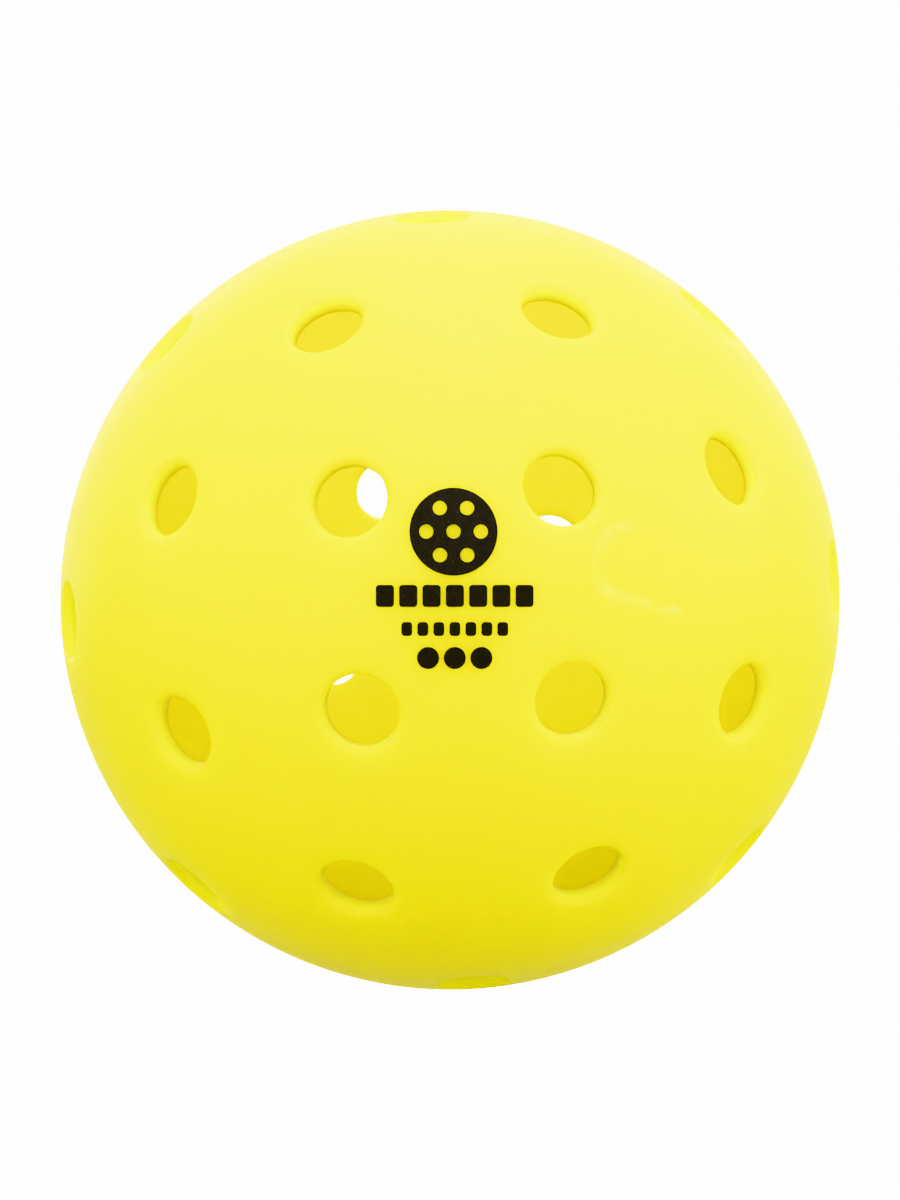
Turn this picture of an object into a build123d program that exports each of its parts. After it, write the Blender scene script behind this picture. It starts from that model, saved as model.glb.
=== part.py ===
from build123d import *

import math
import os

# A pickleball ball with 40 round holes, in millimetres, about its own centre.
# +Z is up as the printed mark reads, and the mark is round the -Y pole.
# Two identical half shells end just short of the plane y = 0, and a weld bead joins them.

# Shell
BALL_RADIUS = 37.0
WALL = 1.85
HOLE_RADIUS = 3.35
RIM_ROUND = 0.55  # on the outer edge of each hole; the inner edge is left sharp

# Rings of holes on one half: angle from the pole, number of holes, azimuth of the first.
# An azimuth is seen from -Y, anticlockwise from +X, before the pattern is turned.
HOLE_RINGS = ((20.9, 4, 45.0), (47.9, 8, 22.5), (76.0, 8, 0.0))
PATTERN_TURN = 3.1  # the holes sit this far anticlockwise of the upright mark
FLIP_AXIS = 33.75  # azimuth of the line that the rear half is flipped about

# Weld between the halves
WELD_WIDTH = 0.6  # gap that the weld fills between the two rims
BEAD_RADIUS = 0.6  # round bead that stands in from the inner wall

# Printed mark, placed from the -Y pole: +X to the right and +Z up
INK = 0.06
EMBLEM_CENTRE = (-0.7, 5.9)
EMBLEM_RADIUS = 3.8
WINDOW_RADIUS = 0.62
WINDOW_RING = 2.35
WINDOWS_ROUND = 6
LONG_ROW = (13.6, 1.9)
LONG_ROW_CENTRE = (-0.6, 0.35)
SHORT_ROW = (9.2, 1.2)
SHORT_ROW_CENTRE = (-0.6, -2.5)
ROW_BLOCKS = 7
BLOCK_GAP = 0.45
BLOCK_CORNER = 0.3
DOT_RADIUS = 0.95
DOT_SPACING = 2.3
DOTS_CENTRE = (-0.6, -5.0)

INNER_RADIUS = BALL_RADIUS - WALL


def hole_direction(polar, azimuth):
    """Unit vector from the ball's centre through a hole on the front half."""
    polar = math.radians(polar)
    azimuth = math.radians(azimuth + PATTERN_TURN)
    out = math.sin(polar)
    return Vector(out * math.cos(azimuth), -math.cos(polar), out * math.sin(azimuth))


def hole_directions():
    """The direction of every hole on the front half."""
    return [
        hole_direction(polar, first + k * 360 / count)
        for polar, count, first in HOLE_RINGS
        for k in range(count)
    ]


def hole_cutter(direction):
    """A round bar through the wall along one hole's axis."""
    bar = Cylinder(HOLE_RADIUS, 4 * WALL)
    return Plane(origin=direction * (BALL_RADIUS - WALL / 2), z_dir=direction) * bar


def outer_rims(shell):
    """The edges where the holes meet the outside of a shell."""
    on_outside = [e for e in shell.edges() if abs((e @ 0).length - BALL_RADIUS) < 0.01]
    return ShapeList(on_outside).sort_by(Edge.length)[:-1]  # the longest is the shell's own rim


def half_shell():
    """The front half: a bowl with three rings of holes, each with a rounded outer edge."""
    cut_face = -WELD_WIDTH / 2
    keep = Pos(0, cut_face - BALL_RADIUS, 0) * Box(
        3 * BALL_RADIUS, 2 * BALL_RADIUS, 3 * BALL_RADIUS
    )
    shell = (Sphere(BALL_RADIUS) & keep) - Sphere(INNER_RADIUS)
    shell -= [hole_cutter(direction) for direction in hole_directions()]
    return fillet(outer_rims(shell), RIM_ROUND)


def flipped(shell):
    """The other half: the same moulding, turned over about a line across the rim."""
    azimuth = math.radians(FLIP_AXIS + PATTERN_TURN)
    line = Axis((0, 0, 0), (math.cos(azimuth), 0, math.sin(azimuth)))
    return shell.rotate(line, 180)


def weld_bead():
    """The ring of fused plastic: flush outside, and a round bead inside."""
    gap = Pos(BALL_RADIUS, 0) * Rectangle(2 * BALL_RADIUS, WELD_WIDTH)
    neck = (Circle(BALL_RADIUS) - Circle(INNER_RADIUS)) & gap
    bead = Circle(INNER_RADIUS) & (Pos(INNER_RADIUS, 0) * Circle(BEAD_RADIUS))
    return revolve(neck + bead, Axis.Y)


def ink_film(outline):
    """An outline in the XZ plane, laid on the outside of the ball at its -Y pole."""
    skin = Sphere(BALL_RADIUS + INK) - Sphere(BALL_RADIUS)
    return skin & extrude(Plane.XZ * outline, BALL_RADIUS + 1)


def emblem_outline():
    """A round ball sign with one window in the middle and a ring of windows round it."""
    windows = PolarLocations(WINDOW_RING, WINDOWS_ROUND) * Circle(WINDOW_RADIUS)
    return Pos(*EMBLEM_CENTRE) * (Circle(EMBLEM_RADIUS) - Circle(WINDOW_RADIUS) - windows)


def row_outline(size, centre):
    """A row of equal blocks with round corners, as long and as high overall as the size says."""
    length, height = size
    pitch = (length + BLOCK_GAP) / ROW_BLOCKS
    block = RectangleRounded(pitch - BLOCK_GAP, height, BLOCK_CORNER)
    return Pos(*centre) * (Sketch() + GridLocations(pitch, 0, ROW_BLOCKS, 1) * block)


def dot_outline(step):
    """One dot of the row, this many spacings right of the middle one."""
    x, z = DOTS_CENTRE
    return Pos(x + step * DOT_SPACING, z) * Circle(DOT_RADIUS)


def build():
    """Every node of the ball, by name."""
    front = half_shell()
    nodes = {
        "front_shell": front,
        "rear_shell": flipped(front),
        "weld_bead": weld_bead(),
        "print_emblem": ink_film(emblem_outline()),
        "print_long_row": ink_film(row_outline(LONG_ROW, LONG_ROW_CENTRE)),
        "print_short_row": ink_film(row_outline(SHORT_ROW, SHORT_ROW_CENTRE)),
    }
    for side, step in (("left", -1), ("middle", 0), ("right", 1)):
        nodes["print_dot_" + side] = ink_film(dot_outline(step))
    return nodes


os.makedirs("parts", exist_ok=True)
for name, shape in build().items():
    export_step(shape, f"parts/{name}.step")
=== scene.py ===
import math
import random

import bmesh
import bpy
import numpy as np
from mathutils import Matrix, Vector


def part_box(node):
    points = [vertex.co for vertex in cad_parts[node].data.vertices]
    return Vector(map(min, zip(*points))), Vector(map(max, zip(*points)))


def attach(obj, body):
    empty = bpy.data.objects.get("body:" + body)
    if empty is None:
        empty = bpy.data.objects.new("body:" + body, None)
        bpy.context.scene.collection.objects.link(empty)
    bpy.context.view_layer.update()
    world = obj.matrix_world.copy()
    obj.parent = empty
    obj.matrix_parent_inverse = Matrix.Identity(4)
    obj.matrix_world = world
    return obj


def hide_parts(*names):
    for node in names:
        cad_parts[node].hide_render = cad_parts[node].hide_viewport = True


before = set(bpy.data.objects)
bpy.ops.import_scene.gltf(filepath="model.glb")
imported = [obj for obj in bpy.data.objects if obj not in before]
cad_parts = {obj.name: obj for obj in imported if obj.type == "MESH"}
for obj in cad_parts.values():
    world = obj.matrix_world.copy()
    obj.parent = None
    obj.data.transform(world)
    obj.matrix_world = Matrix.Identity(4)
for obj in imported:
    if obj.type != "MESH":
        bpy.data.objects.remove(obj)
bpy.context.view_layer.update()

MM = 0.001
MICRON = 0.001 * MM

# The ball, as in the CAD model. The weld lies in the plane y = 0, and the front half faces -Y.
BALL_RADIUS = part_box("weld_bead")[1].x
WALL = 1.85 * MM
HOLE_RADIUS = 3.35 * MM
RIM_ROUND = 0.55 * MM  # of the holes' outer edges
HOLE_RINGS = ((20.9, 4, 45.0), (47.9, 8, 22.5), (76.0, 8, 0.0))  # polar angle, count, first azimuth
FLIP_AXIS = 33.75  # azimuth of the axis that turns the front half over into the rear one
PATTERN_TURN = 3.1  # added to all these azimuths
INNER_RADIUS = BALL_RADIUS - WALL
SEAM_HALF = -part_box("front_shell")[1].y  # from the plane y = 0 to a shell's rim face

# Fineness of the shell mesh, which has a cell of quads round each hole
CELL_STEP = 1.15 * MM  # spacing along the borders between the cells
OUTER_RINGS = 9
INNER_RINGS = 6
RING_CROWDING = 1.25  # above 1, the rings crowd towards the hole
ROUND_STEPS = 7
WALL_SHARES = (0.08, 0.5, 0.94)  # of the way down a hole's wall; the short ends keep its edges crisp
INNER_EDGE = 0.12 * MM  # tiny round on the inner edge of a hole
INNER_EDGE_STEPS = 2
RIM_CHAMFER = 0.07 * MM  # on the outer edge of each shell's rim face
RIM_BANDS = 2  # bands of quads across the chamfer and the rim face
MERGE_DISTANCE = 2 * MICRON
NEIGHBOUR_COSINE = 0.1  # between the axes of holes whose cells may meet
CORNER_COSINE = 0.5  # between a hole's axis and a corner of its cell, at the least
TINY = 1e-6  # on the unit sphere
ANY_DIRECTION = (0.31, 0.47, 0.83)  # lies along no hole's axis

# The weld between the halves
WELD_SEED = 11
WELD_SINK = 0.04 * MM  # how far it lies below the ball's outside
WELD_EDGE = 0.03 * MM  # rounding of its outer edges
WELD_EDGE_FALL = 0.2  # share of that rounding that is left one rounding in from the side
WELD_STEPS = 540
BEAD_RADIUS = 0.6 * MM  # where the bead is thickest
BEAD_SWELL = 0.3  # the share of that radius by which its size varies, up and down
BEAD_LEAN = 0.2  # the same, for its wander to either side
BEAD_INSET = 0.01 * MM  # from the shells' inside to the bead's back
NECK_FOOT = 0.05 * MM  # height of the neck's lower corners above the bead's back
BEAD_STEPS = 10

# Tones of the plastic and the ink, linear
OUTER_YELLOW = (0.97, 0.735, 0.004)
WELD_YELLOW = (0.76, 0.71, 0.004)
LIT_WALL_YELLOW = (0.99, 0.93, 0.05)  # in the walls of the holes: painted light, paler for the light that comes through the thin plastic there
# Painted light: the ball's inside is paler than its outside, for the light that comes through the thin
# shell and the holes
LIT_INSIDE_YELLOW = (0.99, 0.79, 0.003)
DEEP_YELLOW = (0.78, 0.61, 0.003)  # the darker clouds
PALE = (1.0, 0.95, 0.45)  # rubbed or scratched plastic
SPECK = (0.35, 0.22, 0.02)
INK_DARK = (0.004, 0.003, 0.001)
INK_LIGHT = (0.012, 0.009, 0.003)

# The plastic
OUTER_ROUGHNESS = 0.42
WELD_ROUGHNESS = 0.35
ROUGHNESS_SPREAD = 0.1  # how far it varies from place to place
ROUGHNESS_GRAIN = 5 * MM
OUTER_DEPTH = 9 * MM  # how deep light enters
WELD_DEPTH = 0.3 * MM
DEPTH_BY_COLOR = (1.0, 0.95, 0.4)  # share of that depth for red, green and blue
PLASTIC_SPECULAR = 0.09
LIT_WALL_FADE = (0.02 * MM, 0.3 * MM)  # heights above the inner surface, over which the painted light of the ball's inside gives way to the paler painted light of the holes' walls
SKIN_FADE = (0.8 * MM, 0.2 * MM)  # depths below the outer surface
CLOUD_GRAIN = 7 * MM
CLOUD_STRENGTH = 0.05
SPECK_SPACING = 4.2 * MM
SPECK_RADIUS = 0.1 * MM
SPECK_STRENGTH = 0.4
WAVE_GRAIN = 6 * MM
WAVE_HEIGHT = 12 * MICRON
PLASTIC_GRAIN = 0.22 * MM
PLASTIC_GRAIN_HEIGHT = 3 * MICRON

# Marks on the plastic's outside
MARK_STRENGTH = 0.24  # how far the tone goes to PALE
MARK_ROUGHNESS = 0.15  # added where a mark is full
HAIRLINE_SEED = 3
HAIRLINE_COUNT = 6
HAIRLINE_STRENGTH = 0.4
HAIRLINE = 0.06 * MM  # half width of a scratch
HAIRLINE_PATCH = 16 * MM
HAIRLINE_FADE = (0.56, 0.66)  # values of the noise that starts and ends a scratch
SCUFF_CENTRE = (14.9 * MM, 3.2 * MM)  # x and z
SCUFF_RADIUS = 3.2 * MM
SCUFF_WIDTH = 1.2 * MM  # from the middle of its line to where it has faded out
SCUFF_OPENING = (1.5 * MM, -1.0 * MM)  # x from the centre, where the ring fades out to the right
SCUFF_GRAIN = 2 * MM
STREAK_LENGTH = 6.0 * MM
STREAK_WIDTH = 0.8 * SCUFF_WIDTH
STREAK_DROP = 0.25  # its fall to the right

# The ink
INK_SPECULAR = 0.12
INK_ROUGHNESS = (0.5, 0.7)
INK_CLOUD_GRAIN = 0.3 * MM
INK_GLOSS_GRAIN = 0.5 * MM
PINHOLE_SPACING = 0.36 * MM
PINHOLE_RADIUS = 0.035 * MM
PINHOLE_STRENGTH = 0.1
INK_GRAIN = 0.12 * MM
INK_GRAIN_HEIGHT = 6 * MICRON

# The studio. A softbox is (name, azimuth, elevation, angle from its middle to its edge, radiance).
WHITE = 6.0  # bright enough for the view transform to show pure white
FLOOR_GLOW = 0.68
AMBIENT = 0.3
FLOOR_RADIUS = 3.0
FLOOR_SIDES = 96
FLOOR_GREY = 0.05
SOFTBOX_DISTANCE = 20 * BALL_RADIUS
SOFTBOXES = (
    ("backdrop_light", 180, 15, 24, 3.5),
    ("rear_left_softbox", -140, 18, 24, 2.0),
    ("rear_right_softbox", 140, 18, 24, 1.5),
    ("rear_top_softbox", 180, 60, 20, 3.0),
    ("top_softbox", 0, 82, 20, 8.2),
    ("front_top_softbox", 0, 45, 22, 6.4),
    ("front_softbox", 0, 8, 22, 4.4),
    ("left_softbox", -80, 12, 22, 3.0),
    ("right_softbox", 80, 12, 22, 5.4),
)

# The camera: a long lens, straight at the ball's centre
CAMERA_DISTANCE = 10.3 * BALL_RADIUS
CAMERA_AZIMUTH = -1.58
SENSOR = 36.0
OUTLINE_SHARE = 0.65  # of the picture's height, taken up by the ball


def unit(v):
    """The vector at length 1."""
    return v / np.linalg.norm(v)


def axes_round(axis):
    """Two unit vectors square to an axis, so that e1, e2 and the axis are right-handed."""
    e1 = unit(np.cross(ANY_DIRECTION, axis))
    return e1, np.cross(axis, e1)


def hole_direction(polar, azimuth):
    """Unit vector from the centre through a hole of the front half."""
    p = math.radians(polar)
    a = math.radians(azimuth + PATTERN_TURN)
    return np.array((math.sin(p) * math.cos(a), -math.cos(p), math.sin(p) * math.sin(a)))


def hole_directions():
    """The directions of all holes of the front half, ring by ring from its pole."""
    return [
        hole_direction(polar, first + k * 360 / count)
        for polar, count, first in HOLE_RINGS
        for k in range(count)
    ]


def cell_corners(own, seeds):
    """Corners of the cell round one hole, on the unit sphere, anticlockwise round the hole's axis."""
    others = [s for s in seeds if np.linalg.norm(s - own) > TINY and s @ own > NEIGHBOUR_COSINE]
    found = []
    for j, a in enumerate(others):
        for b in others[j + 1:]:
            c = np.cross(a - own, b - own)
            if np.linalg.norm(c) < TINY:
                continue
            c = unit(c) * np.sign(c @ own)
            nearest = c @ own > CORNER_COSINE and all(c @ s <= c @ own + TINY for s in others)
            if nearest and all(np.linalg.norm(c - f) > 10 * TINY for f in found):
                found.append(c)
    e1, e2 = axes_round(own)
    return sorted(found, key=lambda c: math.atan2(c @ e2, c @ e1))


def cell_border(own, seeds):
    """Points along the border of a hole's cell, on the unit sphere, shared with its neighbours."""
    corners = cell_corners(own, seeds)
    border = []
    for a, b in zip(corners, corners[1:] + corners[:1]):
        angle = math.acos(np.clip(a @ b, -1, 1))
        steps = max(2, round(angle * BALL_RADIUS / CELL_STEP))
        for k in range(steps):
            t = k / steps
            border.append((math.sin((1 - t) * angle) * a + math.sin(t * angle) * b) / math.sin(angle))
    return border


def hole_profile():
    """(distance from the hole's axis, height) down one side of a hole, outside first.

    With it come the angles from the axis at which it meets the ball's outside and inside."""
    across = HOLE_RADIUS + RIM_ROUND
    height = math.sqrt((BALL_RADIUS - RIM_ROUND) ** 2 - across ** 2)
    start = math.atan2(across, height)
    points = []
    for k in range(ROUND_STEPS + 1):
        turn = start - (start + math.pi / 2) * k / ROUND_STEPS
        points.append((across + RIM_ROUND * math.sin(turn), height + RIM_ROUND * math.cos(turn)))
    inner_across = HOLE_RADIUS + INNER_EDGE
    inner_height = math.sqrt((INNER_RADIUS + INNER_EDGE) ** 2 - inner_across ** 2)
    inner_start = math.atan2(inner_across, inner_height)
    for share in WALL_SHARES:
        points.append((HOLE_RADIUS, height + (inner_height - height) * share))
    for k in range(INNER_EDGE_STEPS + 1):
        turn = -math.pi / 2 - (math.pi / 2 - inner_start) * k / INNER_EDGE_STEPS
        points.append((inner_across + INNER_EDGE * math.sin(turn),
                       inner_height + INNER_EDGE * math.cos(turn)))
    return points, start, inner_start


class HoleCell:
    """The piece of the front half's wall round one hole, out to the border with its neighbours."""

    def __init__(self, axis, seeds):
        border = cell_border(axis, seeds)
        self.axis = axis
        self.count = len(border)
        self.e1, self.e2 = axes_round(axis)
        self.azimuths = np.unwrap([math.atan2(b @ self.e2, b @ self.e1) for b in border])
        self.polars = np.array([math.acos(b @ axis) for b in border])
        steps = np.arange(self.count) - (self.count - 1) / 2
        self.even = self.azimuths.mean() + steps * 2 * math.pi / self.count
        self.on_rim = np.array([abs(b[1]) < TINY for b in border])

    def on_sphere(self, radius, start, t):
        """Ring of points on a sphere, between the circle at angle start (t = 0) and the border (t = 1)."""
        azimuth = self.even + (self.azimuths - self.even) * t
        polar = start + (self.polars - start) * t
        return radius * (
            np.outer(np.cos(polar), self.axis)
            + np.outer(np.sin(polar) * np.cos(azimuth), self.e1)
            + np.outer(np.sin(polar) * np.sin(azimuth), self.e2)
        )

    def circle(self, across, height):
        """Ring of points round the hole's axis, at this distance from it and this height."""
        return (
            np.outer(np.full(self.count, height), self.axis)
            + np.outer(across * np.cos(self.even), self.e1)
            + np.outer(across * np.sin(self.even), self.e2)
        )

    def at_rim(self, ring, radius, inset):
        """The ring with its points on the rim put at this radius and this far before the plane y = 0."""
        moved = ring.copy()
        flat = moved[self.on_rim]
        flat[:, 1] = 0
        flat *= (math.sqrt(radius ** 2 - inset ** 2) / np.linalg.norm(flat, axis=1))[:, None]
        flat[:, 1] = -inset
        moved[self.on_rim] = flat
        return moved

    def rings(self):
        """Rings round the cell's section: outside, down the hole, back along the inside, and the rim."""
        profile, outer_start, inner_start = hole_profile()
        outside = [
            self.on_sphere(BALL_RADIUS, outer_start, (k / OUTER_RINGS) ** RING_CROWDING)
            for k in range(OUTER_RINGS, 0, -1)
        ]
        outside[0] = self.at_rim(outside[0], BALL_RADIUS, SEAM_HALF + RIM_CHAMFER)
        hole = [self.circle(across, height) for across, height in profile]
        inside = [
            self.on_sphere(INNER_RADIUS, inner_start, (k / INNER_RINGS) ** RING_CROWDING)
            for k in range(1, INNER_RINGS + 1)
        ]
        inside[-1] = self.at_rim(inside[-1], INNER_RADIUS, SEAM_HALF)
        rim_edge = self.at_rim(outside[0], BALL_RADIUS - RIM_CHAMFER, SEAM_HALF)
        return outside + hole + inside + [rim_edge]


def band(first, second, count, kept=None):
    """Quads between two rings of points, all round or only where both sides of a quad are kept."""
    quads = []
    for k in range(count):
        n = (k + 1) % count
        if kept is None or (kept[k] and kept[n]):
            quads.append((first + k, first + n, second + n, second + k))
    return quads


def front_shell_mesh():
    """(vertices, quads) of the front half: a cell of quads round each hole, inside and out."""
    holes = hole_directions()
    seeds = holes + [d * (1, -1, 1) for d in holes]
    vertices, quads = [], []
    for axis in holes:
        cell = HoleCell(axis, seeds)
        rings = cell.rings()
        starts = [len(vertices) + r * cell.count for r in range(len(rings))]
        for ring in rings:
            vertices.extend(ring)
        for r, start in enumerate(starts):
            kept = cell.on_rim if r >= len(starts) - RIM_BANDS else None
            quads += band(start, starts[(r + 1) % len(starts)], cell.count, kept)
    return vertices, quads


def flip_matrix():
    """The half turn that puts the front half in the rear half's place."""
    a = math.radians(FLIP_AXIS + PATTERN_TURN)
    return Matrix.Rotation(math.pi, 4, Vector((math.cos(a), 0, math.sin(a))))


def wander(draw, size, harmonics):
    """A smooth random function of the turn round the ball, between -size and size."""
    waves = [(k, draw.gauss(0, 1) / math.sqrt(k), draw.uniform(0, 2 * math.pi)) for k in harmonics]
    peak = sum(abs(height) for _, height, _ in waves)
    return lambda turn: size * sum(height * math.sin(k * turn + phase) for k, height, phase in waves) / peak


def weld_mesh():
    """(vertices, quads) of the weld: a neck between the rims and a bead of uneven size inside."""
    draw = random.Random(WELD_SEED)
    sink = wander(draw, WELD_SINK / 2, (3, 7, 12, 19, 31, 47))
    swell = wander(draw, BEAD_SWELL, (2, 5, 9, 16, 27, 44, 61))
    lean = wander(draw, BEAD_LEAN, (1, 4, 11, 23, 37))
    back = INNER_RADIUS - BEAD_INSET
    vertices = []
    for k in range(WELD_STEPS):
        turn = 2 * math.pi * k / WELD_STEPS
        outer = BALL_RADIUS - WELD_SINK + sink(turn)
        size = BEAD_RADIUS * (1 - BEAD_SWELL + swell(turn))
        middle = lean(turn) * BEAD_RADIUS
        edge = [(outer - WELD_EDGE, SEAM_HALF), (outer - WELD_EDGE_FALL * WELD_EDGE, SEAM_HALF - WELD_EDGE),
                (outer, SEAM_HALF / 2)]
        section = [(r, -y) for r, y in edge] + edge[::-1] + [(back + NECK_FOOT, SEAM_HALF)]
        for j in range(BEAD_STEPS + 1):
            a = math.pi * j / BEAD_STEPS
            section.append((back - size * math.sin(a), middle + size * math.cos(a)))
        section.append((back + NECK_FOOT, -SEAM_HALF))
        vertices += [(r * math.cos(turn), y, r * math.sin(turn)) for r, y in section]
    count = len(vertices) // WELD_STEPS
    quads = []
    for k in range(WELD_STEPS):
        quads += band(k * count, (k + 1) % WELD_STEPS * count, count)
    return vertices, quads


def add_object(name, data):
    """A new object in the scene, which shows this mesh, light or camera."""
    made = bpy.data.objects.new(name, data)
    bpy.context.scene.collection.objects.link(made)
    return made


def mesh_piece(name, vertices, quads, turn=None):
    """A smooth closed mesh object, with doubled points merged and loose ones removed."""
    mesh = bpy.data.meshes.new(name)
    mesh.from_pydata([tuple(v) for v in vertices], [], quads)
    bm = bmesh.new()
    bm.from_mesh(mesh)
    bmesh.ops.remove_doubles(bm, verts=bm.verts, dist=MERGE_DISTANCE)
    loose = [v for v in bm.verts if not v.link_faces]
    bmesh.ops.delete(bm, geom=loose, context="VERTS")
    bmesh.ops.recalc_face_normals(bm, faces=bm.faces)
    if turn is not None:
        bmesh.ops.transform(bm, matrix=turn, verts=bm.verts)
    for face in bm.faces:
        face.smooth = True
    bm.to_mesh(mesh)
    bm.free()
    return add_object(name, mesh)


class Tree:
    """Short calls that add nodes to one material or world."""

    def __init__(self, owner):
        owner.use_nodes = True
        self.nodes = owner.node_tree.nodes
        self.links = owner.node_tree.links

    def fill(self, node, inputs):
        """Link each named input of a node to a socket, or set it to a plain value."""
        for key, value in inputs.items():
            if isinstance(value, bpy.types.NodeSocket):
                self.links.new(value, node.inputs[key])
            else:
                node.inputs[key].default_value = value

    def add(self, kind, inputs, **settings):
        """A new shader node with these inputs and settings."""
        node = self.nodes.new("ShaderNode" + kind)
        for key, value in settings.items():
            setattr(node, key, value)
        self.fill(node, inputs)
        return node

    def math(self, operation, *values):
        """The result of one operation on numbers."""
        return self.add("Math", dict(enumerate(values)), operation=operation).outputs[0]

    def vector(self, operation, *values):
        """The outputs of one operation on vectors."""
        return self.add("VectorMath", dict(enumerate(values)), operation=operation).outputs

    def fade(self, value, low, high, to_low=0.0, to_high=1.0):
        """Smooth step from to_low at low to to_high at high."""
        ends = {"Value": value, "From Min": low, "From Max": high, "To Min": to_low, "To Max": to_high}
        return self.add("MapRange", ends, interpolation_type="SMOOTHSTEP").outputs[0]

    def noise(self, place, grain, detail):
        """Noise between 0 and 1 with features about one grain wide, in metres."""
        return self.add("TexNoise", {"Vector": place, "Scale": 1 / grain, "Detail": detail}).outputs

    def mix(self, factor, a, b):
        """The colour a at factor 0 and b at factor 1, where each is a socket or (red, green, blue)."""
        a, b = ((*color, 1) if isinstance(color, tuple) else color for color in (a, b))
        return self.add("Mix", {"Factor": factor, "A": a, "B": b}, data_type="RGBA").outputs["Result"]

    def bump(self, height):
        """The normal of a surface with this relief, in metres."""
        return self.add("Bump", {"Height": height, "Distance": 1.0}).outputs["Normal"]


def surface(name):
    """A new material, its tree, its shader and the place of each point, in metres."""
    material = bpy.data.materials.new(name)
    tree = Tree(material)
    return material, tree, tree.nodes["Principled BSDF"], tree.add("TexCoord", {}).outputs["Object"]


def speck_mask(tree, place, spacing, radius):
    """1 inside small round specks scattered through space, on average one to a cell this far across."""
    cells = tree.add("TexVoronoi", {"Vector": place, "Scale": 1 / spacing})
    return tree.fade(cells.outputs["Distance"], radius / spacing, 0.5 * radius / spacing)


def hairline_mask(tree, place):
    """Faint scratches: short stretches of thin great circles, each where one channel of a noise is high."""
    draw = random.Random(HAIRLINE_SEED)
    outward = tree.vector("NORMALIZE", place)["Vector"]
    patches = tree.noise(place, HAIRLINE_PATCH, 1.0)["Color"]
    channels = tree.add("SeparateColor", {"Color": patches}).outputs
    total = 0.0
    for k in range(HAIRLINE_COUNT):
        normal = Vector([draw.gauss(0, 1) for _ in range(3)]).normalized()
        across = tree.vector("DOT_PRODUCT", outward, tuple(normal))["Value"]
        line = tree.fade(tree.math("ABSOLUTE", across), HAIRLINE / BALL_RADIUS, 0.0)
        stretch = tree.fade(channels[k % 3], *HAIRLINE_FADE)
        total = tree.math("ADD", tree.math("MULTIPLY", line, stretch), total)
    return total


def scuff_mask(tree, place):
    """The pale rub mark right of the print: most of a ring, and a streak that trails off to the right."""
    x, y, z = tree.add("SeparateXYZ", {"Vector": place}).outputs
    dx = tree.math("SUBTRACT", x, SCUFF_CENTRE[0])
    dz = tree.math("SUBTRACT", z, SCUFF_CENTRE[1])
    away = tree.math("SQRT", tree.math("ADD", tree.math("MULTIPLY", dx, dx), tree.math("MULTIPLY", dz, dz)))
    off_ring = tree.math("ABSOLUTE", tree.math("SUBTRACT", away, SCUFF_RADIUS))
    ring = tree.math("MULTIPLY", tree.fade(off_ring, SCUFF_WIDTH, 0.0), tree.fade(dx, *SCUFF_OPENING))
    middle_line = tree.math("MULTIPLY_ADD", dx, -STREAK_DROP, -SCUFF_RADIUS)
    off_streak = tree.math("ABSOLUTE", tree.math("SUBTRACT", dz, middle_line))
    along = tree.math("ABSOLUTE", tree.math("SUBTRACT", dx, STREAK_LENGTH / 2 - SCUFF_WIDTH))
    streak = tree.math("MULTIPLY", tree.fade(off_streak, STREAK_WIDTH, 0.0),
                       tree.fade(along, 0.6 * STREAK_LENGTH, 0.3 * STREAK_LENGTH))
    patchy = tree.fade(tree.noise(place, SCUFF_GRAIN, 4.0)[0], 0.25, 0.75)
    front_only = tree.fade(y, 0.0, -BALL_RADIUS / 2)
    both = tree.math("MAXIMUM", ring, streak)
    return tree.math("MULTIPLY", tree.math("MULTIPLY", both, patchy), front_only)


def plastic_color(tree, place, tone, marks, skin, lit_wall):
    """The plastic's colour: three tones through the wall, its own tone outside and paler tones of painted
    light in the holes' walls and on the inside, then clouds, pale marks and dark specks.
    """
    # Painted light: the walls of the holes and the ball's inside get paler tones than the outside
    color = tree.mix(skin, tree.mix(lit_wall, LIT_INSIDE_YELLOW, LIT_WALL_YELLOW), tone)
    clouds = tree.noise(place, CLOUD_GRAIN, 3.0)[0]
    color = tree.mix(tree.fade(clouds, 0.3, 0.7, 0.0, CLOUD_STRENGTH), color, DEEP_YELLOW)
    color = tree.mix(tree.math("MULTIPLY", marks, MARK_STRENGTH), color, PALE)
    specks = tree.math("MULTIPLY", speck_mask(tree, place, SPECK_SPACING, SPECK_RADIUS), SPECK_STRENGTH)
    return tree.mix(specks, color, SPECK)


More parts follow.
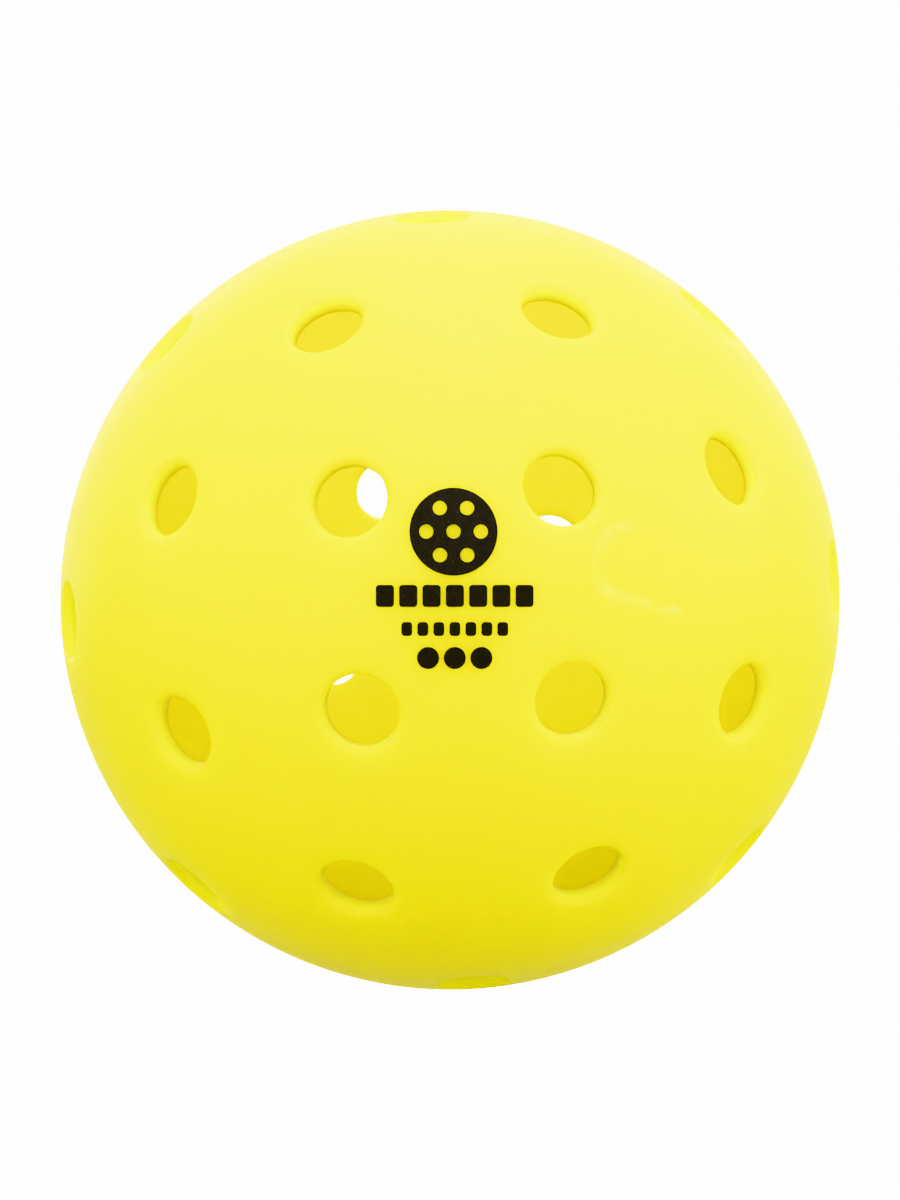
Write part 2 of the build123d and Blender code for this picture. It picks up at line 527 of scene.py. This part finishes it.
def plastic(name, tone, roughness, depth):
    """Translucent moulded plastic of this outer tone and roughness, which light enters to this depth.

    It is painted paler in the walls of the holes and has its own paler tone on the ball's inside: painted
    light, for the light that comes through the thin plastic."""
    material, tree, shader, place = surface(name)
    reach = tree.vector("LENGTH", place)["Value"]
    # Painted light: where the paler tone of the holes' walls takes over from that of the ball's inside
    lit_wall = tree.fade(reach, INNER_RADIUS + LIT_WALL_FADE[0], INNER_RADIUS + LIT_WALL_FADE[1])
    skin = tree.fade(reach, BALL_RADIUS - SKIN_FADE[0], BALL_RADIUS - SKIN_FADE[1])
    hairlines = tree.math("MULTIPLY", hairline_mask(tree, place), HAIRLINE_STRENGTH)
    marks = tree.math("MULTIPLY", tree.math("ADD", scuff_mask(tree, place), hairlines), skin)
    rub = tree.math("MULTIPLY_ADD", marks, MARK_ROUGHNESS, roughness - ROUGHNESS_SPREAD / 2)
    uneven = tree.noise(place, ROUGHNESS_GRAIN, 2.0)[0]
    waves = tree.math("MULTIPLY", tree.noise(place, WAVE_GRAIN, 1.0)[0], WAVE_HEIGHT)
    grain = tree.math("MULTIPLY", tree.noise(place, PLASTIC_GRAIN, 2.0)[0], PLASTIC_GRAIN_HEIGHT)
    tree.fill(shader, {
        "Base Color": plastic_color(tree, place, tone, marks, skin, lit_wall),
        "Roughness": tree.math("MULTIPLY_ADD", uneven, ROUGHNESS_SPREAD, rub),
        "Normal": tree.bump(tree.math("ADD", waves, grain)),
        "Specular IOR Level": PLASTIC_SPECULAR,
        "Subsurface Weight": 1.0,
        "Subsurface Radius": DEPTH_BY_COLOR,
        "Subsurface Scale": depth,
    })
    return material


def ink(name):
    """Matt pad-printed ink with pinholes where the plastic shows through."""
    material, tree, shader, place = surface(name)
    pinholes = speck_mask(tree, place, PINHOLE_SPACING, PINHOLE_RADIUS)
    cover = tree.mix(tree.noise(place, INK_CLOUD_GRAIN, 4.0)[0], INK_DARK, INK_LIGHT)
    grain = tree.noise(place, INK_GRAIN, 3.0)[0]
    tree.fill(shader, {
        "Base Color": tree.mix(tree.math("MULTIPLY", pinholes, PINHOLE_STRENGTH), cover, OUTER_YELLOW),
        "Roughness": tree.fade(tree.noise(place, INK_GLOSS_GRAIN, 3.0)[0], 0.3, 0.7, *INK_ROUGHNESS),
        "Normal": tree.bump(tree.math("MULTIPLY", grain, INK_GRAIN_HEIGHT)),
        "Specular IOR Level": INK_SPECULAR,
    })
    return material


def white_to_camera(tree, strength):
    """Pure white to the camera, and this strength as a light."""
    seen = tree.add("LightPath", {}).outputs["Is Camera Ray"]
    return tree.fade(seen, 0.0, 1.0, strength, WHITE)


def pale_floor():
    """A wide plain disc under the ball, which shines a soft light up at it."""
    mesh = bpy.data.meshes.new("floor")
    bm = bmesh.new()
    bmesh.ops.create_circle(bm, cap_ends=True, segments=FLOOR_SIDES, radius=FLOOR_RADIUS)
    bm.to_mesh(mesh)
    bm.free()
    material = bpy.data.materials.new("pale_floor")
    tree = Tree(material)
    tree.fill(tree.nodes["Principled BSDF"], {
        "Base Color": (FLOOR_GREY, FLOOR_GREY, FLOOR_GREY, 1),
        "Roughness": 1.0,
        "Specular IOR Level": 0.0,
        "Emission Color": (1, 1, 1, 1),
        "Emission Strength": white_to_camera(tree, FLOOR_GLOW),
    })
    mesh.materials.append(material)
    floor = add_object("floor", mesh)
    floor.location.z = -BALL_RADIUS
    return floor


def white_world():
    """A white background that adds a little light from all round."""
    world = bpy.data.worlds.new("studio")
    tree = Tree(world)
    tree.fill(tree.nodes["Background"], {"Color": (1, 1, 1, 1), "Strength": white_to_camera(tree, AMBIENT)})
    return world


def aim_from(thing, azimuth, elevation, distance):
    """Place a lamp or camera this far from the ball's centre, aimed at it.

    Azimuth 0 is in front of the ball, and 90 is to its right."""
    a, e = math.radians(azimuth), math.radians(elevation)
    toward = Vector((math.sin(a) * math.cos(e), -math.cos(a) * math.cos(e), math.sin(e)))
    thing.location = distance * toward
    thing.rotation_euler = toward.to_track_quat("Z", "Y").to_euler()


def softbox(name, azimuth, elevation, spread, radiance):
    """A round area light aimed at the ball."""
    data = bpy.data.lights.new(name, "AREA")
    data.shape = "DISK"
    data.size = 2 * SOFTBOX_DISTANCE * math.tan(math.radians(spread))
    area = math.pi * data.size ** 2 / 4
    data.energy = radiance * math.pi * area
    aim_from(add_object(name, data), azimuth, elevation, SOFTBOX_DISTANCE)


def long_lens_camera():
    """A camera whose lens gives the ball's outline its share of the picture."""
    data = bpy.data.cameras.new("camera")
    data.sensor_width = SENSOR
    data.sensor_fit = "AUTO"
    ratio = CAMERA_DISTANCE / BALL_RADIUS
    data.lens = OUTLINE_SHARE * math.sqrt(ratio ** 2 - 1) * SENSOR / 2
    camera = add_object("camera", data)
    aim_from(camera, CAMERA_AZIMUTH, 0, CAMERA_DISTANCE)
    return camera


yellow = plastic("moulded_yellow", OUTER_YELLOW, OUTER_ROUGHNESS, OUTER_DEPTH)
fused = plastic("welded_yellow", WELD_YELLOW, WELD_ROUGHNESS, WELD_DEPTH)
black = ink("printed_black")

shell = front_shell_mesh()
front = mesh_piece("front_half", *shell)
rear = mesh_piece("rear_half", *shell, flip_matrix())
weld = mesh_piece("weld_ring", *weld_mesh())
for piece, node, material, slot in (
    (front, "front_shell", yellow, "yellow_plastic"),
    (rear, "rear_shell", yellow, "yellow_plastic"),
    (weld, "weld_bead", fused, "weld_plastic"),
):
    piece.data.materials.append(material)
    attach(piece, "root")
    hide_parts(node)
for name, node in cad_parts.items():
    node.data.materials.clear()
    node.data.materials.append(black if name.startswith("print") else yellow)

floor = pale_floor()
bpy.context.scene.world = white_world()
for box in SOFTBOXES:
    softbox(*box)
bpy.context.scene.camera = long_lens_camera()
bpy.context.scene.view_settings.view_transform = "Khronos PBR Neutral"
